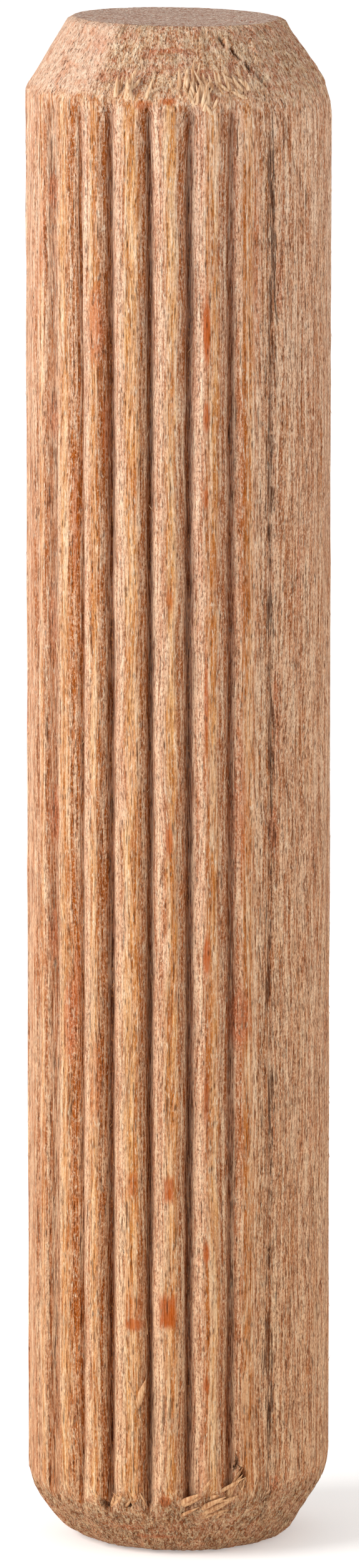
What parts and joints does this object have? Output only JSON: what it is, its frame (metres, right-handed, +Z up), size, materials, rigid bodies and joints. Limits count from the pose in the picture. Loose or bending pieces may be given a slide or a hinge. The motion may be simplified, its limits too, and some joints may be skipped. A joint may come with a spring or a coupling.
{
  "type": "fluted wooden dowel pin",
  "caption": "Short round hardwood dowel with pressed lengthwise flutes and tapered ends, for glued joints.",
  "frame": {"origin": "centre of the lower end face, on the surface the pin stands on", "axes": "+Z up the pin's axis, -Y the front"},
  "size_m": [0.0078, 0.0078, 0.04],
  "materials": {
    "wood": "raw turned beech, fluted under pressure, unfinished"
  },
  "bodies": {
    "root": {"fluted_dowel": "wood"}
  },
  "joints": []
}
